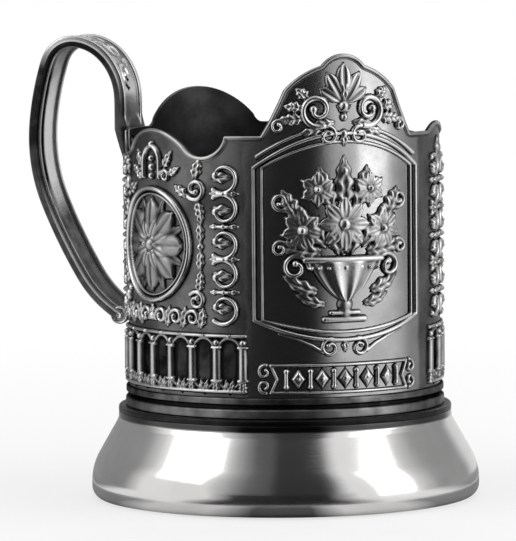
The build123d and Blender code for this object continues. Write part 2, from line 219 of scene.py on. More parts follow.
def worn_metal(name, colours, rough, mottle):
    """Blackened metal that is bright where its mesh is marked as worn; on the handle and the front frame
    these marks also hold painted light and shade.
    """
    nodes = new_look(name)
    patches = nodes.math("SUBTRACT", nodes.noise(scale=260.0), 0.5)
    shade = nodes.math("ADD", nodes.attribute("wear"), nodes.math("MULTIPLY", patches, mottle))
    nodes.feed("Base Color", nodes.ramp(shade, colours))
    nodes.feed("Roughness", nodes.ramp(shade, rough))
    nodes.feed("Specular Tint", nodes.ramp(shade, [(0.1, 0.12), (0.6, 0.9)]))
    nodes.set(Metallic=1.0)
    nodes.bump(nodes.noise(scale=2600.0), strength=0.35, distance=grain_depth)
    return nodes.owner


def cloudy_metal(name, colours, rough, patch_scale, grain_scale, grain):
    """The nodes of metal with clouds and a fine grain, and those clouds as a socket."""
    nodes = new_look(name)
    fine = nodes.math("MULTIPLY", nodes.noise(grain_scale), grain_share)
    clouds = nodes.math("ADD", nodes.noise(patch_scale), fine)
    clouds = nodes.math("SUBTRACT", clouds, grain_share / 2)
    nodes.feed("Base Color", nodes.ramp(clouds, colours))
    nodes.feed("Roughness", nodes.ramp(clouds, rough))
    nodes.set(Metallic=1.0)
    nodes.bump(nodes.noise(grain_scale), grain, grain_depth)
    return nodes, clouds


def blackened_metal(name, colours, rough, patina, patina_rough, inside):
    """The sleeve's metal: polished on the front panel, blackened elsewhere, and darker in the bore."""
    nodes, clouds = cloudy_metal(
        name, colours, rough, patch_scale=110.0, grain_scale=1500.0, grain=0.18
    )
    flat = nodes.vector("MULTIPLY", {0: nodes.place()}, {1: (1, 1, 0)})
    out = nodes.vector("LENGTH", {0: flat}, output="Value")
    wall = nodes.between(out, (bore_radius + 0.1) * MM, (bore_radius + 0.4) * MM, inside, 1.0)
    turn = radians(middle_of("front"))
    unit = nodes.vector("NORMALIZE", {0: flat})
    facing = nodes.vector("DOT_PRODUCT", {0: unit}, {1: (cos(turn), sin(turn), 0)}, "Value")
    ragged = nodes.math("MULTIPLY", nodes.math("SUBTRACT", clouds, 0.5), polish_ragged)
    facing = nodes.math("ADD", facing, ragged)
    polish = nodes.between(facing, cos(radians(polish_end)), cos(radians(polish_full)), 0.0, 1.0)
    dark = nodes.between(clouds, 0.3, 0.7, (1 - patina_spread) * patina, (1 + patina_spread) * patina)
    share = nodes.math("MULTIPLY", wall, nodes.math("MAXIMUM", polish, dark))
    nodes.darken(nodes.fed("Base Color"), share)
    dull = nodes.math("MULTIPLY", nodes.math("SUBTRACT", 1.0, polish), patina_rough)
    nodes.feed("Roughness", nodes.math("ADD", nodes.fed("Roughness"), dull))
    return nodes.owner


def polished_metal(name, colours, rough):
    """Spun and polished metal with faint lines and clouds, and painted shade that darkens it under the
    collar.
    """
    nodes = new_look(name)
    height = nodes.add("ShaderNodeSeparateXYZ", links={"Vector": nodes.place()}).outputs["Z"]
    values = {"Scale": 5200.0, "Detail": 3.0}
    lines = nodes.add("ShaderNodeTexNoise", {"noise_dimensions": "1D"}, values, {"W": height})
    lines = lines.outputs["Fac"]
    clouds = nodes.noise(scale=55.0, detail=5.0)
    # Painted shade: the foot is darkened under the collar, where the collar's shadow falls
    collar_shadow = nodes.between(height, collar_shadow_start * MM, collar_shadow_full * MM, 1.0, collar_shadow_share)
    nodes.darken(nodes.ramp(clouds, colours), collar_shadow)
    mixed = nodes.math("MULTIPLY", nodes.math("ADD", lines, clouds), 0.5)
    nodes.feed("Roughness", nodes.ramp(mixed, rough))
    nodes.set(Metallic=1.0)
    nodes.bump(lines, strength=0.12, distance=0.02)
    return nodes.owner


relief_look = worn_metal(
    "worn_relief",
    [
        (0.08, (0.012, 0.012, 0.0125)),
        (0.22, (0.07, 0.07, 0.07)),
        (0.42, (0.27, 0.269, 0.267)),
        (0.85, (0.68, 0.677, 0.672)),
    ],
    [(0.1, 0.42), (0.9, 0.22)],
    mottle=0.36,
)
handle_look = worn_metal(
    "handle_metal",
    [
        (0.03, (0.018, 0.018, 0.0185)),
        (0.12, (0.07, 0.07, 0.0705)),
        (0.4, (0.28, 0.279, 0.277)),
        (0.85, (0.7, 0.697, 0.692)),
    ],
    [(0.1, 0.38), (0.9, 0.2)],
    mottle=0.3,
)
sleeve_look = blackened_metal(
    "blackened_sleeve",
    [(0.3, (0.33, 0.33, 0.331)), (0.62, (0.47, 0.47, 0.468))],
    [(0.3, 0.22), (0.65, 0.14)],
    patina=0.3,
    patina_rough=0.23,
    inside=0.3,
)
foot_look = polished_metal(
    "polished_nickel",
    [(0.3, (0.64, 0.635, 0.628)), (0.7, (0.74, 0.735, 0.728))],
    [(0.35, 0.06), (0.65, 0.2)],
)
# Painted shade and painted reflection: the collar ring is coloured near black
collar_look = cloudy_metal(
    "dark_collar",
    [(0.3, 0.012), (0.65, 0.03)],
    [(0.3, 0.42), (0.65, 0.3)],
    patch_scale=200.0,
    grain_scale=1800.0,
    grain=0.15,
)[0].owner
seat_look = cloudy_metal(
    "seat_metal",
    [(0.3, 0.12), (0.65, 0.26)],
    [(0.3, 0.5), (0.65, 0.36)],
    patch_scale=90.0,
    grain_scale=1500.0,
    grain=0.25,
)[0].owner


# Meshes
def new_object(name, points, faces, look, levels=None, attribute="wear"):
    """A linked mesh object, with levels of an attribute for its points if given."""
    mesh = bpy.data.meshes.new(name)
    mesh.from_pydata((np.asarray(points) * MM).tolist(), [], faces)
    mesh.validate()
    if levels is not None:
        layer = mesh.attributes.new(attribute, "FLOAT", "POINT")
        layer.data.foreach_set("value", np.asarray(levels, np.float32))
    mesh.materials.append(look)
    thing = bpy.data.objects.new(name, mesh)
    scene.collection.objects.link(thing)
    return thing


def make_piece(name, points, quads, look, wear=None, caps=()):
    """A smooth mesh piece that rides on the part and stands for the node of the same name."""
    faces = quads.tolist() + [cap.tolist() for cap in caps]
    piece = new_object(name, points, faces, look, wear)
    piece.data.shade_smooth()
    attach(piece, "root")
    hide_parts(name)


def grid_quads(rows, columns, wrap_rows=False, wrap_columns=True):
    """Corner numbers of the faces between the points of a grid."""
    index = np.arange(rows * columns).reshape(rows, columns)
    if wrap_rows:
        index = np.vstack((index, index[:1]))
    if wrap_columns:
        index = np.hstack((index, index[:, :1]))
    faces = np.stack((index[:-1, :-1], index[:-1, 1:], index[1:, 1:], index[1:, :-1]), axis=-1)
    return faces.reshape(-1, 4)


def rounded_outline(corners, pieces=8):
    """A closed outline through corners given as (x, y, radius), each rounded by its radius."""
    outline = []
    count = len(corners)
    for i in range(count):
        x, y, radius = corners[i]
        corner = np.array((x, y))
        if radius == 0:
            outline.append(corner)
            continue
        before = np.array(corners[i - 1][:2]) - corner
        after = np.array(corners[(i + 1) % count][:2]) - corner
        before = before / np.linalg.norm(before)
        after = after / np.linalg.norm(after)
        half = np.arccos(np.clip(before @ after, -1, 1)) / 2
        centre = corner + (before + after) / np.linalg.norm(before + after) * radius / sin(half)
        first = corner + before * radius / np.tan(half) - centre
        last = corner + after * radius / np.tan(half) - centre
        start = atan2(first[1], first[0])
        turn = (atan2(last[1], last[0]) - start + pi) % (2 * pi) - pi
        for t in np.linspace(0, 1, pieces + 1):
            angle = start + turn * t
            outline.append(centre + radius * np.array((cos(angle), sin(angle))))
    return np.array(outline)


def lathe(outline, count):
    """Points and faces of a closed outline of (radius, height) turned round the Z axis."""
    turn = np.linspace(0, 2 * pi, count, endpoint=False)
    radius, height = outline[:, 0], outline[:, 1]
    points = np.stack(
        (
            np.outer(radius, np.cos(turn)),
            np.outer(radius, np.sin(turn)),
            np.outer(height, np.ones(count)),
        ),
        axis=-1,
    )
    return points.reshape(-1, 3), grid_quads(len(outline), count, wrap_rows=True)


def even(line, step):
    """The same line with points an even step apart."""
    length = np.concatenate(([0], np.cumsum(np.hypot(*np.diff(line, axis=0).T))))
    at = np.linspace(0, length[-1], int(length[-1] / step) + 1)
    return np.column_stack([np.interp(at, length, column) for column in line.T])


def smoothed(line, reach):
    """The line with each point averaged over this many points each way."""
    weights = np.ones(2 * reach + 1) / (2 * reach + 1)
    padded = [np.pad(column, reach, "edge") for column in line.T]
    return np.column_stack([np.convolve(column, weights, "valid") for column in padded])


def directions(line):
    """The direction of a line at each of its points."""
    step = np.gradient(line, axis=0)
    return step / np.hypot(step[:, 0], step[:, 1])[:, None]


# Height maps: their grid, depths of empty places and of a plate's edge and back, and how edges fall
relief_step = 0.2
relief_sunk = 0.3
relief_cut = 0.2
plate_depth = 0.4
edge_slope = 1.1
ridge_power = 0.6

# Leaves and petals: shares of their width or height, powers that round them, a leaf's least height
blade_arch = 0.3
blade_tip = 0.6
leaf_belly = 0.75
leaf_crown = 0.4
leaf_lobes = 0.12
leaf_vein = 0.3
leaf_vein_width = 0.09
leaf_rib = 0.09
rib_slant = 0.7
leaf_least = 0.05
petal_belly = 1.7
petal_crown = 0.55
petal_vein = 0.2
petal_vein_width = 0.1
deep_hollow = 0.3

# Wear of ornament: the least, what height adds, and what standing clear of the cells around adds
wear_least = 0.12
wear_high = 0.6
wear_clear = 1.1
wear_cells = 4


def rounded(distance, half, top):
    """Height of a rounded ridge at a distance from its middle; it sinks past its edge."""
    inside = np.clip(1 - (distance / half) ** 2, 0, None)
    return top * inside**ridge_power - np.clip(distance - half, 0, None) * edge_slope


def arched(along):
    """How high a leaf or petal is along its length: lower towards its ends."""
    return 1 - blade_arch + blade_arch * np.sin(pi * along)


def spiral(centre, outer, inner, start, turn):
    """Points of a spiral from one radius to another, from an angle through a turn."""
    t = np.linspace(0, 1, max(6, int(abs(turn) / 12)))
    radius = outer + (inner - outer) * t
    angle = np.radians(start + turn * t)
    return np.column_stack((centre[0] + radius * np.cos(angle), centre[1] + radius * np.sin(angle)))


def blurred(values, reach):
    """The values averaged over a square of this many cells each way."""
    rows, columns = values.shape
    padded = np.pad(values, reach, mode="edge")
    steps = range(2 * reach + 1)
    total = sum(padded[i : i + rows, j : j + columns] for i in steps for j in steps)
    return total / len(steps) ** 2


class Relief:
    """A height map on the sleeve, as wide to the left of its middle as to the right."""

    def __init__(self, half, bottom, top):
        columns = int(round(half / relief_step))
        self.x = np.arange(-columns, columns + 1) * relief_step
        self.z = np.arange(bottom, top + relief_step, relief_step)
        self.height = np.full((len(self.z), len(self.x)), -relief_sunk)

    def window(self, left, right, bottom, top):
        """Where this window lies in the map, and its coordinates."""
        columns = slice(*np.searchsorted(self.x, (left, right)))
        rows = slice(*np.searchsorted(self.z, (bottom, top)))
        x, z = np.meshgrid(self.x[columns], self.z[rows])
        return (rows, columns), x, z

    def lay(self, place, height):
        """Raise the map to this height where it is lower."""
        self.height[place] = np.maximum(self.height[place], height)

    def stroke(self, points, widths, tops):
        """A rounded cord along points; half widths and heights run from its start to its end."""
        points = np.asarray(points, float)
        along = np.linspace(0, 1, len(points))
        widths = np.interp(along, np.linspace(0, 1, len(widths)), widths)
        tops = np.interp(along, np.linspace(0, 1, len(tops)), tops)
        for i in range(len(points) - 1):
            a, b = points[i], points[i + 1]
            margin = max(widths[i], widths[i + 1]) + relief_sunk
            low, high = np.minimum(a, b) - margin, np.maximum(a, b) + margin
            place, x, z = self.window(low[0], high[0], low[1], high[1])
            step = b - a
            t = ((x - a[0]) * step[0] + (z - a[1]) * step[1]) / max(step @ step, 1e-9)
            t = np.clip(t, 0, 1)
            distance = np.hypot(x - a[0] - t * step[0], z - a[1] - t * step[1])
            half = widths[i] + t * (widths[i + 1] - widths[i])
            top = tops[i] + t * (tops[i + 1] - tops[i])
            self.lay(place, rounded(distance, half, top))

    def dome(self, x, z, radius, top):
        """A round boss."""
        margin = radius + relief_sunk
        place, gx, gz = self.window(x - margin, x + margin, z - margin, z + margin)
        self.lay(place, rounded(np.hypot(gx - x, gz - z), radius, top))

    def volute(self, centre, outer, inner, start, turn, width, top, eye):
        """A tapering spiral with a boss at its inner end."""
        points = spiral(centre, outer, inner, start, turn)
        self.stroke(points, (width, 0.7 * width), (0.8 * top, top))
        self.dome(points[-1][0], points[-1][1], eye, 1.1 * top)

    def blade(self, root, angle, length, width):
        """Where a leaf or petal may lie, and how far along and aside of it points are."""
        turn = radians(angle)
        reach = length + width
        place, x, z = self.window(
            root[0] - reach, root[0] + reach, root[1] - reach, root[1] + reach
        )
        along = ((x - root[0]) * cos(turn) + (z - root[1]) * sin(turn)) / length
        aside = (z - root[1]) * cos(turn) - (x - root[0]) * sin(turn)
        return place, along, aside

    def lay_blade(self, place, along, length, height):
        """Lay the height of a leaf or petal, sinking before its root and past its end."""
        beyond = np.clip(np.abs(along - 0.5) - 0.5, 0, None) * length
        self.lay(place, np.maximum(height - beyond * edge_slope, -relief_sunk))

    def leaf(self, root, angle, length, width, top, bend=0.0, ribs=4):
        """A veined leaf from a root towards an angle, bent by a share of its length."""
        place, along, aside = self.blade(root, angle, length, width)
        aside = np.abs(aside - bend * length * np.clip(along, 0, 1) ** 2)
        inside = np.clip(along, 0.02, 0.98)
        lobes = 1 + leaf_lobes * np.cos(2 * pi * ribs * inside)
        half = width / 2 * np.sin(pi * inside**leaf_belly) ** blade_tip * lobes
        ratio = aside / half
        body = top * np.clip(1 - ratio**2, 0, None) ** leaf_crown * arched(inside)
        vein = leaf_vein * top * np.exp(-((aside / (leaf_vein_width * width)) ** 2))
        rib = leaf_rib * top * (1 + np.cos(2 * pi * (ribs * inside - rib_slant * ratio)))
        carved = np.maximum(body - vein - rib, leaf_least)
        height = np.where(ratio < 1, carved, -(aside - half) * edge_slope)
        self.lay_blade(place, along, length, height)

    def petal(self, root, angle, length, width, top, hollow=0.45):
        """A petal with a round end; hollow is how much lower its middle lies."""
        place, along, aside = self.blade(root, angle, length, width)
        aside = np.abs(aside)
        inside = np.clip(along, 0.02, 0.985)
        half = width / 2 * np.sin(pi * inside**petal_belly) ** blade_tip
        ratio = aside / half
        edge = np.clip(1 - ratio ** (2 + 6 * hollow), 0, None) ** petal_crown
        dish = 1 - hollow + hollow * np.clip(ratio, 0, 1) ** 2
        vein = petal_vein * top * np.exp(-((aside / (petal_vein_width * width)) ** 2))
        vein = vein * inside if hollow > deep_hollow else -vein
        body = top * edge * dish * arched(inside) + vein
        height = np.where(ratio < 1, body, -(aside - half) * edge_slope)
        self.lay_blade(place, along, length, height)

    def leaves(self, *rows):
        """Leaves given as (root, angle, length, width, top, bend, ribs)."""
        for row in rows:
            self.leaf(*row)

    def volutes(self, *rows):
        """Volutes given as (centre, outer, inner, start, turn, width, top, eye)."""
        for row in rows:
            self.volute(*row)

    def domes(self, *rows):
        """Bosses given as (x, z, radius, top)."""
        for row in rows:
            self.dome(*row)

    def mirror(self):
        """Repeat what is drawn on one side of the middle on the other side."""
        self.height = np.maximum(self.height, self.height[:, ::-1])

    def wear(self, full):
        """How bright the metal is worn, for a map whose full height is given."""
        raised = np.clip(self.height, 0, None)
        clear = raised - blurred(raised, wear_cells)
        level = np.clip(self.height / full, 0, 1)
        return np.clip(wear_least + wear_high * level + wear_clear * clear / full, 0, 1)

    def piece(self, name, panel, full, share=1.0):
        """The map as a closed plate on the sleeve, without what lies under the sleeve's face.

        Share is how much of the usual wear it has, as one number or one for each column; the front
        frame's share for each column is painted light and shade.
        """
        shown = self.height > -relief_cut
        cells = shown[:-1, :-1] | shown[:-1, 1:] | shown[1:, :-1] | shown[1:, 1:]
        corners = grid_quads(*shown.shape, wrap_columns=False)[cells.ravel()]
        used, front = np.unique(corners, return_inverse=True)
        front = front.reshape(-1, 4)
        count = len(used)
        first = front.T.ravel()
        last = np.roll(front, -1, axis=1).T.ravel()
        open_edge = ~np.isin(first * count + last, last * count + first)
        first, last = first[open_edge], last[open_edge]
        sides = np.stack((last, first, first + count, last + count), axis=-1)
        quads = np.concatenate((front, front[:, ::-1] + count, sides))
        x, z = np.meshgrid(self.x, self.z)
        rise = z.ravel()[used]
        turn = radians(middle_of(panel)) + x.ravel()[used] / sleeve_radius
        face = sleeve_radius + np.maximum(self.height.ravel()[used], -relief_cut)
        back = np.full(count, sleeve_radius - plate_depth)
        points = np.concatenate(
            [np.column_stack((r * np.cos(turn), r * np.sin(turn), rise)) for r in (face, back)]
        )
        worn = np.concatenate(((self.wear(full) * share).ravel()[used], np.zeros(count)))
        make_piece(name, points, quads, relief_look, worn)


# Pieces turned round the axis, their outlines as (radius, height, rounding)
def turned_piece(name, outline, count, look, wear=None):
    """A piece turned round the Z axis, with wear for each point of its outline."""
    points, quads = lathe(outline, count)
    worn = None if wear is None else np.repeat(wear, count)
    make_piece(name, points, quads, look, worn)


foot_outline = rounded_outline(
    [
        (foot_radius, 0.0, 2.6),
        (foot_radius, 7.0, 13.0),
        (37.5, 16.8, 3.0),
        (37.0, 17.9, 0.8),
        (37.0, foot_height, 0.2),
        (30.0, foot_height, 0.0),
        (30.0, 18.6, 0.0),
        (36.2, 18.6, 0.3),
        (36.2, 17.4, 0.6),
        (41.0, 8.3, 0.5),
        (42.2, 5.2, 0.3),
        (42.3, 0.8, 0.2),
        (40.0, 0.8, 0.2),
        (40.0, 0.0, 0.2),
    ]
)
turned_piece("foot", foot_outline, 288, foot_look)

collar_outline = rounded_outline(
    [
        (collar_radius, foot_height, 0.15),
        (collar_radius, collar_top, 0.5),
        (sleeve_radius + 0.05, collar_top, 0.1),
        (sleeve_radius + 0.05, foot_height, 0.0),
    ]
)
turned_piece("collar_ring", collar_outline, 256, collar_look)

band_outline = rounded_outline(
    [
        (sleeve_radius - 0.3, collar_top, 0.0),
        (35.45, collar_top, 0.3),
        (35.4, 22.6, 0.55),
        (34.8, 23.0, 0.2),
        (34.8, 23.6, 0.2),
        (35.3, 23.9, 0.3),
        (35.3, band_top, 0.4),
        (sleeve_radius - 0.3, band_top, 0.0),
    ]
)
band_wear = 0.36 * np.clip((band_outline[:, 0] - 34.7) / 0.75, 0, 1)
turned_piece("lower_band", band_outline, 256, relief_look, band_wear)

# Upper edge of the sleeve: its level ends, angles from a panel's middle, rises above the shoulder
shoulder_level = 2.5
crest_root = 30.0
crest_wing = 21.5
wing_rise = 9.9
crest_lobe = 8.2
lobe_rise = 15.0
strip_rise = 1.9
rim_step = 0.4

# Angle and rise of the valley, angle and rise of the middle arch's foot, and that arch's rise
rim_shapes = {
    "left": (25.2, -4.5, 17.0, -2.6, 1.2),
    "back_left": (24.6, 0.35, 22.8, 1.8, 8.4),
    "back_right": (30.0, -2.2, 17.0, -1.9, -1.2),
}


def arc_through(start, top, end, count):
    """Points of the arc through three points."""
    (ax, ay), (bx, by), (cx, cy) = start, top, end
    a, b, c = ax**2 + ay**2, bx**2 + by**2, cx**2 + cy**2
    d = 2 * (ax * (by - cy) + bx * (cy - ay) + cx * (ay - by))
    ux = (a * (by - cy) + b * (cy - ay) + c * (ay - by)) / d
    uy = (a * (cx - bx) + b * (ax - cx) + c * (bx - ax)) / d
    radius = np.hypot(ax - ux, ay - uy)
    angles = np.unwrap([atan2(y - uy, x - ux) for x, y in (start, top, end)])
    turn = np.linspace(angles[0], angles[2], count)
    return np.column_stack((ux + radius * np.cos(turn), uy + radius * np.sin(turn)))


def crest_line(edge):
    """The upper edge over the front panel, from its shoulders to the crest's round top."""
    root = (across(crest_root), shoulder_z)
    wing = (across(crest_wing), shoulder_z + wing_rise)
    lobe = (across(crest_lobe), shoulder_z + lobe_rise)
    side_middle = ((root[0] + wing[0]) / 2 - 0.2, (root[1] + wing[1]) / 2)
    bow_middle = ((wing[0] + lobe[0]) / 2 + 0.5, (wing[1] + lobe[1]) / 2 + 0.5)
    right = np.concatenate(
        (
            [(edge, shoulder_z), root],
            arc_through(root, side_middle, wing, 24),
            arc_through(wing, bow_middle, lobe, 24),
            arc_through(lobe, (0, crest_top), (-lobe[0], lobe[1]), 41)[:21],
        )
    )
    return np.concatenate((right * (-1, 1), right[::-1]))


def rim_points(panel):
    """The upper edge over a panel as (angle from its middle, height), from left to right."""
    edge = across(half_of(panel))
    flat = across(half_of(panel) - shoulder_level)
    if panel == "front":
        line = crest_line(edge)
    elif panel == "strip":
        middle = (0, shoulder_z + strip_rise)
        top = arc_through((-flat, shoulder_z), middle, (flat, shoulder_z), 40)
        line = np.concatenate(([(-edge, shoulder_z)], top, [(edge, shoulder_z)]))
    else:
        valley, valley_rise, foot, foot_rise, rise = rim_shapes[panel]
        foot, foot_z = across(foot), shoulder_z + foot_rise
        valley = (across(valley), shoulder_z + valley_rise)
        dip = arc_through((foot, foot_z), valley, (flat, shoulder_z), 30)
        top = arc_through((-foot, foot_z), (0, shoulder_z + rise), (foot, foot_z), 60)
        side = np.concatenate((dip, [(edge, shoulder_z)]))
        line = np.concatenate((side[::-1] * (-1, 1), top[1:-1], side))
    angle = np.degrees(np.arcsin(np.clip(line[:, 0] / sleeve_radius, -1, 1)))
    return np.column_stack((angle, line[:, 1]))


rim = []
for panel in ("left", "front", "strip", "back_right", "back_left"):
    line = rim_points(panel)
    line[:, 0] = np.radians(line[:, 0] + middle_of(panel)) * sleeve_radius
    rim.append(line)
rim = np.concatenate(rim)
rim = rim[np.concatenate(([True], np.hypot(*np.diff(rim, axis=0).T) > 1e-6))]
rim = even(rim, rim_step)
slope = smoothed(directions(rim), 2)
upward = np.column_stack((-slope[:, 1], slope[:, 0]))

# The bead's outline as (distance above the edge, radius, rounding)
bead_radius = sleeve_radius + 0.5
bead_inside = bore_radius + 0.03
bead_outline = rounded_outline(
    [
        (0.1, bead_inside, 0.25),
        (0.1, bead_radius, 0.4),
        (-0.6, bead_radius, 0.28),
        (-0.78, sleeve_radius + 0.08, 0.08),
        (-1.0, sleeve_radius + 0.22, 0.1),
        (-1.2, sleeve_radius - 0.2, 0.05),
        (-0.5, sleeve_radius - 0.2, 0.05),
        (-0.5, bead_inside, 0.05),
    ],
    4,
)
place = rim[:, None, :] + upward[:, None, :] * bead_outline[None, :, :1]
turn = place[..., 0] / sleeve_radius
radius = np.broadcast_to(bead_outline[None, :, 1], turn.shape)
points = np.stack((radius * np.cos(turn), radius * np.sin(turn), place[..., 1]), axis=-1)
rows, columns = turn.shape
bead_wear = np.clip((bead_outline[:, 1] - sleeve_radius) * 0.9 + 0.2, 0.1, 0.6)
bead_wear = np.where(bead_outline[:, 1] < bore_radius + 0.2, 0.5, bead_wear)
make_piece(
    "rim_bead",
    points.reshape(-1, 3),
    grid_quads(rows, columns)[:, ::-1],
    relief_look,
    np.tile(bead_wear, rows),
    [np.arange(columns), np.arange(rows * columns - 1, (rows - 1) * columns - 1, -1)],
)

# Arcades: two rails, an arched line round each bay, and columns with capitals and leaves
low_rail = arcade_bottom + 0.6
high_rail = arcade_top - 0.5
column_base = 28.9
column_start = 29.0
column_end = 35.6
capital_z = 36.1
capital_boss_z = 37.1
for panel, slots in slot_counts.items():
    pitch = arc(slot_pitch)
    slot_x = (np.arange(slots) - (slots - 1) / 2 + slot_shifts[panel]) * pitch
    bar_x = (np.arange(slots + 1) - slots / 2 + slot_shifts[panel]) * pitch
    start, end = bar_x[0] - 0.5, bar_x[-1] + 0.5
    plate = Relief(max(end, -start) + 1.2, arcade_bottom - 0.6, arcade_top + 0.8)
    place, x, z = plate.window(start, end, arcade_bottom, arcade_top)
    plate.lay(place, np.full(x.shape, 0.04))
    plate.stroke([(start, low_rail), (end, low_rail)], (0.55,), (0.9,))
    plate.stroke([(start, high_rail), (end, high_rail)], (0.5,), (0.75,))
    for x in slot_x:
        place, gx, gz = plate.window(x - 4, x + 4, arcade_bottom, arcade_top)
        beyond = np.clip(np.abs(gz - slot_z) - slot_straight, 0, None)
        edge = np.hypot(gx - x, beyond) - slot_radius
        plate.lay(place, rounded(np.abs(edge - 0.2), 0.4, 0.6))
        plate.dome(x, high_rail, 0.5, 1.1)
        for side in (-1, 1):
            root = (x, arcade_bottom + 0.1)
            plate.leaf(root, 90 - 28 * side, 3.0, 1.6, 0.85, 0.2 * side, 3)
    for x in bar_x:
        plate.stroke([(x, column_start), (x, column_end)], (1.1, 1.0), (1.0,))
        plate.stroke([(x - 0.95, capital_z), (x + 0.95, capital_z)], (0.36,), (1.05,))
        plate.dome(x, capital_boss_z, 0.85, 1.05)
        plate.stroke([(x - 1.0, column_base), (x + 1.0, column_base)], (0.38,), (1.05,))
        plate.leaf((x, arcade_bottom + 0.5), 90, 2.6, 2.0, 1.1, 0.0, 3)
    plate.piece(f"{panel}_arcade", panel, 1.35)

# Scroll chains, each column as (angle, size of a loop, number of loops)
chain_bottom = 40.9
chain_top = 76.4
chains_end = 78.0
row_start = 3.0
row_pitch = 4.7
row_size = 1.95
row_z = 42.2
chains = {
    "left": ((-30.0, 2.6, 6), (33.2, 3.6, 5)),
    "back_left": ((-24.7, 2.1, 8), (24.7, 2.1, 8)),
    "back_right": ((-33.0, 3.3, 5), (33.0, 3.3, 5)),
}


def scroll_chain(plate, x, size, count, opens):
    """A column of loops open to one side, -1 or 1, with buds in them and ties between."""
    pitch = (chain_top - chain_bottom - 2 * size) / (count - 1)
    for i in range(count):
        z = chain_bottom + size + pitch * i
        way = 1 if i % 2 else -1
        start = 90 - (90 - 48 * way) * opens
        bud = (x + opens * 0.75 * size, z)
        plate.volute((x, z), size, 0.5 * size, start, 300 * way * opens, 0.65, 1.1, 0.32 * size)
        plate.leaf(bud, 90 + 90 * opens, 1.3 * size, 0.75 * size, 1.0, 0.0, 2)
        if i:
            tie = z - pitch / 2
            plate.stroke([(x - 0.35 * size, tie), (x + 0.35 * size, tie)], (0.5,), (1.15,))
            plate.dome(x, tie, 0.75, 1.25)
            for side in (-1, 1):
                root = (x + side * 0.3 * size, tie)
                plate.leaf(root, 90 - side * 90, 0.7 * size, 1.3, 0.95, 0.0, 2)


for panel, columns in chains.items():
    reach = max(arc(abs(angle)) + size for angle, size, count in columns)
    plate = Relief(reach + 0.9, arcade_top + 0.3, chains_end)
    first_angle, first_size = columns[0][:2]
    for j in range(3):
        x = row_start + row_pitch * j
        if x + 2.0 > arc(-first_angle) - first_size:
            break
        plate.volute((x, row_z), row_size, 0.6, 200, -400, 0.62, 1.05, 0.7)
        plate.leaf((x + 1.6, row_z - 2.0), 62, 4.4, 2.4, 1.0, 0.25, 3)
    plate.dome(0, 42.1, 1.2, 1.25)
    plate.leaf((0, 42.0), 90, 2.9, 1.9, 1.0, 0.0, 2)
    if panel != "back_left":
        plate.volutes(
            ((13.2, 70.2), 2.5, 0.7, 225, 430, 0.68, 1.1, 0.8),
            ((13.4, 46.0), 2.1, 0.6, 140, -430, 0.62, 1.1, 0.75),
        )
        plate.leaves(
            ((13.0, 72.4), 80, 4.4, 2.8, 1.05, -0.1, 3),
            ((11.0, 68.4), 140, 4.4, 2.4, 1.0, 0.12, 3),
            ((13.6, 67.6), -72, 5.4, 2.5, 1.0, -0.1, 4),
            ((14.2, 62.8), -86, 4.6, 2.2, 0.95, 0.0, 3),
            ((13.8, 47.8), 76, 5.0, 2.4, 1.0, 0.1, 4),
            ((14.2, 52.6), 86, 4.6, 2.2, 0.95, 0.0, 3),
        )
        plate.dome(14.4, medallion_z, 0.9, 1.1)
    plate.mirror()
    for angle, size, count in columns:
        scroll_chain(plate, arc(angle), size, count, -1 if angle > 0 else 1)
    plate.piece(f"{panel}_scrolls", panel, 1.1)

plate = Relief(arc(11.4), arcade_top + 0.3, shoulder_z - 0.4)
scroll_chain(plate, arc(5.2), 2.5, 6, 1)
plate.leaf((0, 74.0), 90, 6.2, 3.6, 1.0, 0.0, 3)
plate.mirror()
plate.piece("strip_scrolls", "strip", 1.1)

# Medallions: an oval ring, a rosette of leaves and petals in it, and a palmette above
ring_x = arc(20.5)
ring_z = 12.8
rosette_reach = 10.6
petal_count = 8
seed_circle = 2.0
arch_half = 3.0
arch_spring = 75.4
arch_rise = 3.6
for panel in chains:
    plate = Relief(ring_x + 0.8, medallion_z - ring_z - 0.8, medallion_z + ring_z + 0.8)
    turn = np.linspace(0, 2 * pi, 145)
    for inset, width, top in ((0.65, 0.65, 1.4), (1.8, 0.3, 0.8)):
        oval_x = (ring_x - inset) * np.cos(turn)
        oval_z = medallion_z + (ring_z - inset) * np.sin(turn)
        plate.stroke(np.column_stack((oval_x, oval_z)), (width,), (top,))
    plate.piece(f"{panel}_medallion_ring", panel, 1.4)

    plate = Relief(10.4, medallion_z - rosette_reach, medallion_z + rosette_reach)
    middle = (0, medallion_z)
    petal_turn = 360 / petal_count
    for i in range(petal_count):
        angle = petal_turn * i
        plate.leaf(middle, angle + petal_turn / 2, 10.5, 4.4, 1.0, 0.0, 3)
        plate.petal(middle, angle, 9.8, 5.6, 1.5, 0.0)
        plate.petal(middle, angle + petal_turn / 2, 6.0, 3.6, 1.8, 0.0)
        seed_x = seed_circle * cos(radians(angle))
        seed_z = medallion_z + seed_circle * sin(radians(angle))
        plate.dome(seed_x, seed_z, 0.55, 1.9)
    plate.dome(0, medallion_z, 1.9, 2.0)
    plate.piece(f"{panel}_rosette", panel, 2.4)

    plate = Relief(9.4, palmette_z - 1.2, 81.0)
    bow = np.radians(np.linspace(0, 90, 13))
    arch = np.column_stack((arch_half * np.cos(bow), arch_spring + arch_rise * np.sin(bow)))
    plate.stroke(np.concatenate(([(arch_half, 72.4)], arch)), (0.6, 0.6), (1.1,))
    plate.domes(
        (0, 79.4, 0.9, 1.2),
        (0, 72.6, 0.85, 1.2),
        (0, 74.5, 1.0, 1.2),
        (0, 76.4, 0.8, 1.2),
    )
    plate.volute((4.7, 72.7), 1.4, 0.5, 180, -380, 0.5, 1.05, 0.55)
    plate.leaves(
        ((3.9, 74.4), 48, 4.6, 2.3, 1.0, 0.12, 3),
        ((5.6, 73.2), 15, 3.6, 1.9, 0.95, 0.15, 3),
    )
    plate.mirror()
    plate.piece(f"{panel}_palmette", panel, 1.1)

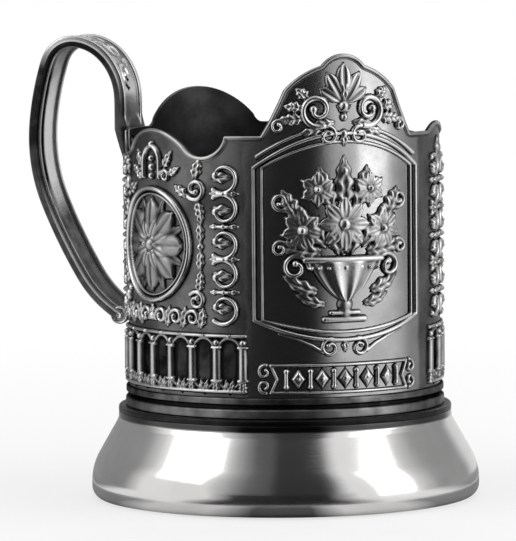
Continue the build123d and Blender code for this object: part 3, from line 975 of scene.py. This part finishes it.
# Frame of the front panel: a double line bowed below and above, with volutes there
frame_side = arc(33.6)
frame_bottom = 42.1
frame_top = 74.9
frame_low_bow = 5.0
frame_high_bow = 7.8
frame_points = 61


def frame_line(inset):
    """The frame's closed line, this far in from its outer edge."""
    side = frame_side - inset
    x = np.linspace(-side, side, frame_points)
    bow = 1 - (x / side) ** 2
    low = np.column_stack((x, frame_bottom - (frame_low_bow - inset) * bow))
    high = np.column_stack((x, frame_top + (frame_high_bow - inset) * bow))
    return np.concatenate((low, high[::-1], low[:1]))


plate = Relief(frame_side + 0.8, 33.2, 84.6)
plate.stroke(frame_line(0.55), (0.55,), (0.9,))
plate.stroke(frame_line(2.3), (0.4,), (0.7,))
eave = frame_line(0.55)[frame_points : 2 * frame_points]
eave = eave[(eave[:, 0] > 5.3) & (eave[:, 0] < 18.6)]
plate.stroke(eave + (0.5, 1.5), (0.6, 0.35), (0.95, 0.6))
plate.stroke([(5.2, 35.2), (7.4, 36.6), (10.4, 37.9), (14.5, 39.2)], (0.55, 0.3), (0.8, 0.5))
plate.volutes(
    ((3.7, 81.7), 2.1, 0.7, 60, 430, 0.6, 1.05, 0.7),
    ((3.4, 36.0), 2.0, 0.7, 100, -420, 0.55, 0.95, 0.6),
)
plate.leaves(
    ((4.8, 83.0), -6, 5.4, 2.2, 0.95, -0.08, 3),
    ((0, 79.6), 90, 2.6, 2.0, 1.0, 0.0, 2),
    ((0, 35.2), 90, 2.6, 1.8, 0.9, 0.0, 2),
)
plate.dome(0, 82.0, 1.1, 1.1)
plate.mirror()
# Painted light and shade: the frame is darker on its left side and brighter on its right
frame_painted_light = np.interp(plate.x, (-19.0, -13.0, 13.0, 19.0), (0.5, 1.0, 1.0, 1.4))
plate.piece("front_frame", "front", 0.95, frame_painted_light)

# Banner of the front panel: lozenges and bars between two lines with notched ends
banner_end = arc(27.0)
banner_low = 26.4
banner_z = 29.35
banner_high = 32.3
banner_pitch = 5.2
lozenge_half_x = 2.0
lozenge_half_z = 2.5
lozenge_slope = 1.8
lozenge_top = 0.85
plate = Relief(banner_end + 4.0, 25.7, 33.4)
for line in (
    [(0, banner_low), (banner_end, banner_low)],
    [(0, banner_high), (banner_end, banner_high)],
    [(banner_end, banner_low), (banner_end - 1.4, banner_z), (banner_end, banner_high)],
):
    plate.stroke(line, (0.42,), (0.65,))
plate.volutes(
    ((banner_end + 1.3, 30.9), 1.5, 0.5, 100, -340, 0.48, 0.75, 0.5),
    ((banner_end + 1.3, 27.8), 1.5, 0.5, -100, 340, 0.48, 0.75, 0.5),
)
for i in range(3):
    x = banner_pitch * i
    place, gx, gz = plate.window(x - 3, x + 3, 26.0, 33.0)
    off = np.abs(gx - x) / lozenge_half_x + np.abs(gz - banner_z) / lozenge_half_z
    plate.lay(place, np.clip(lozenge_slope * (1 - off), None, lozenge_top))
    plate.dome(x, banner_z, 0.75, 1.1)
    x = banner_pitch * (i + 0.5)
    plate.stroke([(x, 28.2), (x, 30.5)], (0.6, 0.6), (0.9,))
    plate.domes((x, 31.0, 0.75, 0.95), (x, 27.7, 0.75, 0.95))
plate.mirror()
plate.piece("front_banner", "front", 1.15)

# Motif of the front panel: a fluted urn on a stem, with flowers and leaves
bowl_bottom = 46.0
bowl_height = 8.2
bowl_half = 8.4
bowl_swell = 0.55
bowl_rise = 1.4
flute_depth = 0.2
flute_count = 9
rim_seeds = 9
rim_seed_pitch = 1.9
plate = Relief(17.0, 40.6, 77.8)
for half, z, width, top in ((4.6, 42.1, 0.8, 1.0), (3.2, 43.5, 0.65, 1.05), (8.8, 55.0, 0.85, 1.35)):
    plate.stroke([(-half, z), (half, z)], (width,), (top,))
plate.stroke([(0, 43.6), (0, 46.6)], (1.7, 1.2), (1.1,))
plate.dome(0, 45.3, 1.9, 1.25)
place, gx, gz = plate.window(-10, 10, 45.6, 54.6)
half = bowl_half * np.clip((gz - bowl_bottom) / bowl_height, 0.002, 1) ** bowl_swell
ratio = np.abs(gx) / half
flutes = flute_depth * (1 + np.cos(flute_count * np.arcsin(np.clip(gx / half, -1, 1))))
bowl = bowl_rise * np.sqrt(np.clip(1 - ratio**2, 0, 1)) - flutes + 0.15
plate.lay(place, np.where(ratio < 1, bowl, -(np.abs(gx) - half)))
for i in range(rim_seeds):
    plate.dome(rim_seed_pitch * (i - (rim_seeds - 1) / 2), 53.2, 0.65, 1.5)
plate.volutes(
    ((10.9, 53.4), 2.9, 0.9, 180, -450, 0.75, 1.2, 0.95),
    ((14.0, 67.6), 1.9, 0.6, 250, 420, 0.6, 1.05, 0.65),
    ((14.2, 57.4), 1.7, 0.5, 120, -400, 0.55, 1.0, 0.6),
)
plate.leaves(
    ((6.4, 48.2), 12, 7.6, 3.4, 1.05, 0.24, 3),
    ((4.6, 45.4), 8, 6.4, 2.6, 0.95, 0.2, 3),
    ((5.5, 56.6), 6, 9.6, 4.2, 1.1, 0.1, 4),
    ((9.6, 63.6), 52, 7.6, 4.0, 1.1, 0.1, 4),
    ((2.6, 66.0), 66, 9.4, 4.2, 1.1, 0.1, 4),
    ((4.0, 58.0), 45, 12.0, 4.4, 1.1, 0.1, 4),
    ((0.0, 66.0), 90, 11.2, 4.6, 1.1, 0.0, 4),
    ((1.0, 56.2), 70, 9.0, 4.0, 1.1, 0.1, 4),
)
for x, z, size, count in ((0.0, 62.6, 5.6, 8), (9.4, 61.4, 4.2, 7), (6.0, 70.2, 3.5, 6)):
    for i in range(count):
        plate.petal((x, z), 90 + 360 / count * i, size, 4.6 * size / count, 1.5)
    plate.dome(x, z, size * 0.3, 1.85)
plate.dome(0, 74.0, 1.3, 1.4)
plate.mirror()
plate.piece("front_motif", "front", 1.4)

# Crest: a palmette between two large volutes with leaves
plate = Relief(17.2, 82.2, 98.6)
for lean, length, width in ((58, 6.2, 3.0), (29, 7.6, 3.2), (0, 8.6, 3.6)):
    plate.petal((0.0, 88.4), 90 - lean, length, width, 1.2 - 0.003 * lean, 0.2)
plate.domes((0, 88.0, 1.3, 1.5), (0, 85.6, 1.0, 1.3))
plate.volutes(
    ((5.9, 87.2), 3.7, 0.9, 250, 480, 0.85, 1.25, 1.1),
    ((14.4, 83.7), 1.5, 0.5, 150, -400, 0.55, 1.05, 0.6),
)
plate.leaves(
    ((0, 88.6), 90, 5.6, 1.8, 1.35, 0.0, 3),
    ((8.2, 89.6), 52, 3.2, 2.6, 1.15, -0.12, 3),
    ((9.4, 87.6), 14, 3.6, 2.7, 1.15, -0.12, 3),
    ((9.0, 85.6), -12, 5.6, 2.8, 1.1, 0.12, 4),
    ((0.6, 86.8), 150, 2.6, 1.8, 1.0, 0.0, 2),
    ((2.2, 84.4), 0, 5.4, 2.2, 1.0, -0.1, 3),
)
plate.mirror()
plate.piece("front_crest", "front", 1.1)

# Handle: a strap along bends given as (distance out, rise) from the sleeve and its shoulder
strap_half = 7.2
strap_middle = sleeve_radius + 1.0
strap_start = shoulder_z - 9.0
strap_straight = shoulder_z + 6.7
strap_bends = [
    (4.7, 16.2),
    (11.3, 19.6),
    (17.9, 15.4),
    (20.8, 1.5),
    (18.1, -16.8),
    (10.2, -32.7),
    (1.6, -41.4),
]
strap_step = 0.25
strap_soft = 8
strap_stiff = 60
bead_half = 0.9
bead_rise = 1.3
edge_power = 4.5
face_rise = 0.72
under_rise = 0.8
root_half = 2.6
root_taper = 9.0
taper_power = 0.7
root_on_wall = 12.0
root_lift = 2.5
root_under = -0.4
root_under_slope = 1.7 / 9.5
vine_half = 5.0
vine_start = 21.0
vine_end = 5.0
vine_pitch = 6.4


def tangent_arc(start, way, end, count):
    """Points of an arc that leaves start in this way and ends at end, and its way there."""
    chord = end - start
    normal = np.array((-way[1], way[0]))
    radius = chord @ chord / (2 * (chord @ normal))
    centre = start + normal * radius
    first, last = start - centre, end - centre
    turn = atan2(first[0] * last[1] - first[1] * last[0], first @ last)
    at = np.linspace(0, turn, count)
    points = np.outer(np.cos(at), first) + np.outer(np.sin(at), (-first[1], first[0]))
    return centre + points, way * cos(turn) + normal * sin(turn)


spine = [np.array([(-strap_middle, strap_start), (-strap_middle, strap_straight)])]
way = np.array((0.0, 1.0))
for out, rise in strap_bends:
    end = np.array((-sleeve_radius - out, shoulder_z + rise))
    stretch, way = tangent_arc(spine[-1][-1], way, end, 60)
    spine.append(stretch[1:])
spine = even(np.concatenate(spine), strap_step)
spine[strap_stiff:-strap_soft] = smoothed(spine, strap_soft)[strap_stiff:-strap_soft]
along = np.concatenate(([0], np.cumsum(np.hypot(*np.diff(spine, axis=0).T))))
tangent = directions(spine)
outward = np.column_stack((tangent[:, 1], -tangent[:, 0]))

vine = Relief(5.2, 0.0, along[-1])
for i in range(int((along[-1] - vine_start - vine_end) / vine_pitch)):
    side = 1 if i % 2 else -1
    s = vine_start + vine_pitch * i
    vine.volute((side * 1.1, s), 2.9, 0.8, 90 * side, 430 * side, 0.5, 0.5, 0.65)
    vine.leaf((side * -1.4, s + 1.8), 90 + side * 52, 3.4, 2.0, 0.5, 0.1 * side, 3)
    vine.leaf((side * 2.6, s + 2.4), 90 - side * 35, 2.6, 1.5, 0.45, 0.0, 3)

# Points across the strap, closer together on its edges
edge_turn = np.radians(np.linspace(-80, 90, 18))
edge_share = np.sign(edge_turn) * np.abs(np.sin(edge_turn)) ** (2 / edge_power)
bead_y = strap_half - bead_half + bead_half * edge_share
middle_y = np.linspace(-bead_y[0] + 0.18, bead_y[0] - 0.18, 53)
across_y = np.concatenate((-bead_y[::-1], middle_y, bead_y))
edge_share = (np.abs(across_y) - strap_half + bead_half) / bead_half
bead_top = bead_rise * np.clip(1 - np.abs(edge_share) ** edge_power, 0, 1) ** (1 / edge_power)
in_field = np.abs(across_y) < strap_half - bead_half
on_side = (edge_share > 0.5) & (bead_top < 1.1)
# Painted shade: the near half of the strap's under face is darkened to copy a dark reflection
painted_shade_side = np.clip((-across_y - 1.2) / 1.4, 0, 1)

# Wear along the strap with painted light and shade in it, as shares of its length and the level there
outer_wear_and_painted_light = ((0.16, 0.22, 0.29, 0.33, 0.42, 0.5), (0.78, 0.5, 0.5, 0.9, 0.9, 0.5))
inner_wear_and_painted_light = ((0.4, 0.52, 0.66, 0.75), (0.44, 0.88, 0.88, 0.28))
outer_edge_wear_and_painted_light = ((0.14, 0.2, 0.37, 0.42, 0.56, 0.66), (0.12, 0.6, 0.75, 0.04, 0.03, 0.12))
inner_edge_wear_and_painted_light = ((0.14, 0.2, 0.56, 0.66, 0.78), (0.12, 0.04, 0.03, 0.12, 0.5))
# Painted shade on the under face's near half: where along the strap it holds, and the level it takes
painted_shade_along = ((0.38, 0.44, 0.66, 0.75), (0.4, 1.0, 1.0, 0.0))
painted_shade_level = 0.12
crown_wear = 0.8
inner_crown_wear = 0.5
rows = []
strap_wear_and_painted_light = []
for i, s in enumerate(along):
    row = min(int(round(s / relief_step)), len(vine.z) - 1)
    carved = np.interp(across_y, vine.x, np.clip(vine.height[row], 0, None))
    carved = np.where(np.abs(across_y) < vine_half, carved, 0)
    face = np.maximum(np.where(in_field, face_rise + carved, 0), bead_top)
    under = np.maximum(np.where(in_field, under_rise, 0), bead_top)
    half = root_half + (strap_half - root_half) * min(s / root_taper, 1) ** taper_power
    y = across_y * half / strap_half
    on_wall = np.clip((root_on_wall - s) / root_lift, 0, 1)
    saddle = strap_middle - np.sqrt(sleeve_radius**2 - y**2)
    face = face * (1 - on_wall) + saddle * on_wall
    under = np.minimum(under, root_under + root_under_slope * s)
    n = np.concatenate((face, -under[::-1]))
    y = np.concatenate((y, y[::-1]))
    x, z = spine[i]
    rows.append(np.column_stack((x + outward[i, 0] * n, y, z + outward[i, 1] * n)))
    share = s / along[-1]
    bright = np.interp(share, *outer_wear_and_painted_light)
    face_wear_and_painted_light = np.where(bead_top > face_rise, crown_wear, bright + carved)
    face_wear_and_painted_light = np.where(on_side, np.interp(share, *outer_edge_wear_and_painted_light), face_wear_and_painted_light)
    bright = np.interp(share, *inner_wear_and_painted_light)
    bright = bright - (bright - painted_shade_level) * painted_shade_side * np.interp(share, *painted_shade_along)
    under_wear_and_painted_light = np.where(bead_top > under_rise, np.maximum(bright, inner_crown_wear), bright)
    under_wear_and_painted_light = np.where(on_side, np.interp(share, *inner_edge_wear_and_painted_light), under_wear_and_painted_light)
    strap_wear_and_painted_light.append(np.concatenate((face_wear_and_painted_light, under_wear_and_painted_light[::-1])))
strap = np.concatenate(rows)
columns = len(rows[0])
strap_quads = grid_quads(len(rows), columns)[:, ::-1]
caps = [np.arange(columns), np.arange(len(strap) - columns, len(strap))[::-1]]

# Rolled end of the handle, half of its outline as (radius, distance aside, rounding)
roll_count = 48
roll_half = [
    (2.0, 5.5, 0.2),
    (2.0, 7.15, 0.3),
    (1.6, 7.2, 0.25),
    (1.35, 6.8, 0.1),
    (0.95, 6.8, 0.1),
    (0.75, 7.2, 0.35),
    (0.02, 7.2, 0.0),
]
roll_outline = rounded_outline(
    [(r, -y, rounding) for r, y, rounding in roll_half[::-1]]
    + [(1.75, -5.2, 0.2), (1.75, 5.2, 0.2)]
    + roll_half,
    4,
)
roll, roll_quads = lathe(roll_outline, roll_count)
roll_out, roll_rise = strap_bends[-1]
roll = np.column_stack(
    (roll[:, 0] - sleeve_radius - roll_out, roll[:, 2], roll[:, 1] + shoulder_z + roll_rise)
)
roll_worn = np.repeat(np.where(np.abs(roll_outline[:, 1]) > 7.0, 0.85, 0.45), roll_count)
make_piece(
    "handle",
    np.concatenate((strap, roll)),
    np.concatenate((strap_quads, roll_quads[:, ::-1] + len(strap))),
    handle_look,
    np.concatenate(strap_wear_and_painted_light + [roll_worn]),
    caps,
)

# Rivets of the handle's upper root, their outline as (radius, distance out, rounding)
rivet_aside = 2.6
rivet_z = shoulder_z - 2.3
rivet_wear = 0.7
rivet_outline = rounded_outline(
    [
        (0.02, -2.2, 0.0),
        (1.1, -2.2, 0.1),
        (1.1, 0.0, 0.0),
        (1.5, 0.0, 0.1),
        (1.3, 0.5, 0.35),
        (0.02, 0.62, 0.0),
    ],
    5,
)
rivet, rivet_quads = lathe(rivet_outline, 40)
rivet_quads = rivet_quads[:, ::-1]
rivet_x = -strap_middle - 0.75 - rivet[:, 2]
rivets = [
    np.column_stack((rivet_x, rivet[:, 0] + aside, rivet[:, 1] + rivet_z))
    for aside in (-rivet_aside, rivet_aside)
]
make_piece(
    "upper_rivets",
    np.concatenate(rivets),
    np.concatenate((rivet_quads, rivet_quads + len(rivet))),
    handle_look,
    np.full(2 * len(rivet), rivet_wear),
)

# Solids that keep their shape and only get a look
for node, look in (("sleeve", sleeve_look), ("seat_plate", seat_look), ("lower_pin", seat_look)):
    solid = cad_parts[node]
    solid.data.materials.clear()
    solid.data.materials.append(look)

# Camera
camera_turn = 14.0
camera_distance = 1000.0
camera_height = 131.0
target_height = 50.1
target_left = 5.8
camera_roll = 0.45
focal_length = 300.4
toward = Vector((sin(radians(camera_turn)), -cos(radians(camera_turn)), 0))
rightward = Vector((cos(radians(camera_turn)), sin(radians(camera_turn)), 0))
upright = Vector((0, 0, 1))


def around(angle, distance, height):
    """A place round the part, its angle counted from the camera's side to the right."""
    turn = radians(angle)
    return (toward * cos(turn) + rightward * sin(turn)) * distance + upright * height


def looking(place, target):
    """The transform of a camera or lamp that looks from a place at a target."""
    turn = (target - place).to_track_quat("-Z", "Y").to_matrix().to_4x4()
    return Matrix.Translation(place * MM) @ turn


target = rightward * -target_left + upright * target_height
camera_data = bpy.data.cameras.new("camera")
camera_data.lens = focal_length
camera_data.sensor_width = 36.0
camera_data.clip_start = 0.05
camera_data.clip_end = 50.0
camera = bpy.data.objects.new("camera", camera_data)
camera.matrix_world = looking(
    around(0.0, camera_distance, camera_height), target
) @ Matrix.Rotation(radians(-camera_roll), 4, "Z")
scene.collection.objects.link(camera)
scene.camera = camera

# Stage: white surroundings, a pale floor and dark cards that the metal reflects
white = (1, 1, 1, 1)
soft_strength = 0.9
floor_grey = 0.86
floor_half = 12000.0
floor_near = 60.0
floor_far = 400.0
floor_glow = 0.6
floor_in_gloss = 0.92

world = Nodes(bpy.data.worlds.new("studio"), "Background")
scene.world = world.owner
world.set(Color=white, Strength=soft_strength)
plain = world.add("ShaderNodeBackground", values={"Color": white, "Strength": 1.0})
world.mix_in(plain, world.seen(), "World Output")

floor = new_look("pale_floor")
floor.set(Base_Color=(floor_grey, floor_grey, floor_grey, 1), Roughness=0.9)
glow = floor.add("ShaderNodeEmission", values={"Color": white, "Strength": 1.0})
away = floor.vector("LENGTH", {0: floor.place()}, output="Value")
share = floor.between(away, floor_near * MM, floor_far * MM, floor_glow, 1.0)
glossy = floor.add("ShaderNodeLightPath").outputs["Is Glossy Ray"]
share = floor.math("MAXIMUM", share, floor.math("MULTIPLY", glossy, floor_in_gloss))
floor.mix_in(glow, floor.math("MULTIPLY", share, floor.seen()), "Material Output")
floor_corners = [(x * floor_half, y * floor_half, 0) for x, y in ((-1, -1), (1, -1), (1, 1), (-1, 1))]
new_object("floor", floor_corners, [(0, 1, 2, 3)], floor.owner)

# Cards lie round the part just above the floor, and some stand up at their far end
card_lift = 0.6
near_lift = 0.3
near_start = 41.75
near_end = 58.0
front_reach = 420.0
front_top = 60.0
upper_top = 900.0
sides_reach = 600.0
sides_top = 700.0
card_columns = 181


def card(name, stops, rings):
    """A bent card through rings of (radius, height), grey by stops of (angle, level)."""
    nodes = new_look(name)
    fleck = nodes.ramp(nodes.noise(scale=20.0), [(0.3, 0.95), (0.7, 1.05)])
    nodes.feed("Base Color", nodes.math("MULTIPLY", nodes.attribute("shade"), fleck))
    nodes.set(Roughness=1.0, Specular_IOR_Level=0.0)
    angles = np.linspace(stops[0][0], stops[-1][0], card_columns)
    levels = np.interp(angles, *zip(*stops))
    points = [around(angle, radius, height) for radius, height in rings for angle in angles]
    quads = grid_quads(len(rings), card_columns, wrap_columns=False)
    levels = np.tile(levels, len(rings))
    thing = new_object(name, points, quads.tolist(), nodes.owner, levels, "shade")
    thing.visible_camera = False
    thing.visible_diffuse = False
    thing.visible_shadow = False


card(
    "card_front",
    [(-44, 0.85), (-29, 0.03), (24, 0.02), (40, 0.85)],
    [(near_end, card_lift), (front_reach, card_lift), (front_reach, front_top)],
)
card(
    "card_upper",
    [(-46, 0.9), (-31, 0.34), (-22, 0.13), (-11, 0.12), (-5, 0.04)]
    + [(21, 0.04), (27, 0.09), (32, 0.6), (36, 0.95)],
    [(front_reach, front_top), (front_reach, upper_top)],
)
card(
    "card_sides",
    [(80, 0.9), (100, 0.36), (134, 0.36), (146, 0.8), (164, 0.8), (176, 0.33), (252, 0.3), (266, 0.9)],
    [(near_end, card_lift), (sides_reach, card_lift), (sides_reach, sides_top)],
)
# Painted shadow: the near card is a grey ring by the foot, darkest in front, that only reflections show,
# standing for shade on the floor there
card(
    "card_near",
    [(-180, 0.3), (-62, 0.32), (-46, 0.85), (-24, 0.85), (-10, 0.1)]
    + [(8, 0.1), (18, 0.85), (40, 0.85), (52, 0.32), (180, 0.3)],
    [(near_start, near_lift), (near_end, near_lift)],
)


def lamp(name, angle, distance, height, size, power):
    """A large soft lamp that looks at the part's middle."""
    light = bpy.data.lights.new(name, "AREA")
    light.size = size * MM
    light.energy = power
    thing = bpy.data.objects.new(name, light)
    thing.matrix_world = looking(around(angle, distance, height), upright * 50.0)
    thing.visible_camera = False
    scene.collection.objects.link(thing)


lamp("lamp_right", angle=78.0, distance=800.0, height=330.0, size=750.0, power=2.4)
lamp("lamp_left", angle=-70.0, distance=800.0, height=650.0, size=600.0, power=1.6)

scene.view_settings.view_transform = "Standard"

bpy.context.view_layer.update()
